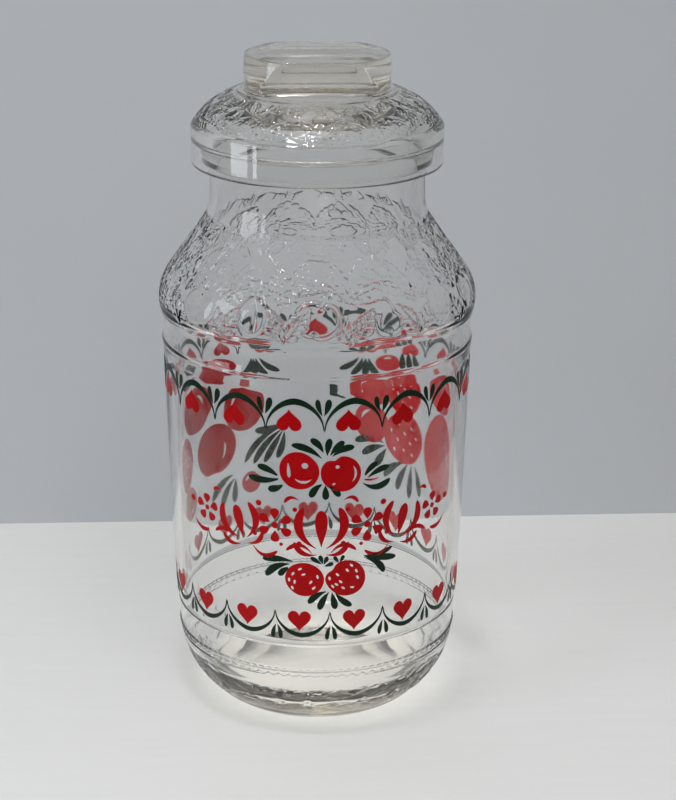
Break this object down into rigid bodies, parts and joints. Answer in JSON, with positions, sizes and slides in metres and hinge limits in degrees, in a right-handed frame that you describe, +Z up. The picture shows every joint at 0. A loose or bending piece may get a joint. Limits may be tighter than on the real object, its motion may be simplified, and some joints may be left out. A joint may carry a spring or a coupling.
{
  "type": "glass preserving jar with lid",
  "caption": "Tall pressed-glass preserving jar with a rolled shoulder, banded heel and beaded mouth, and a domed glass cap lid with a finger-scooped knob.",
  "frame": {"origin": "centre of the ring that the jar stands on, on the supporting surface", "axes": "+Z up along the jar's axis; -Y towards the front of the printed body, square to the knob's flat faces"},
  "size_m": [0.1382, 0.1382, 0.29],
  "materials": {
    "jar_glass": "clear pressed soda-lime glass, fire-polished",
    "lid_glass": "clear pressed soda-lime glass, thick at the knob",
    "enamel_red": "fired-on red enamel",
    "enamel_green": "fired-on dark green enamel",
    "enamel_white": "fired-on white enamel"
  },
  "bodies": {
    "jar": {"jar": "jar_glass"},
    "lid": {"lid": "lid_glass"}
  },
  "joints": [
    {"name": "lid_lift", "type": "slide", "parent": "jar", "child": "lid", "axis": [0, 0, 1], "range_m": [0, 0.08]}
  ]
}
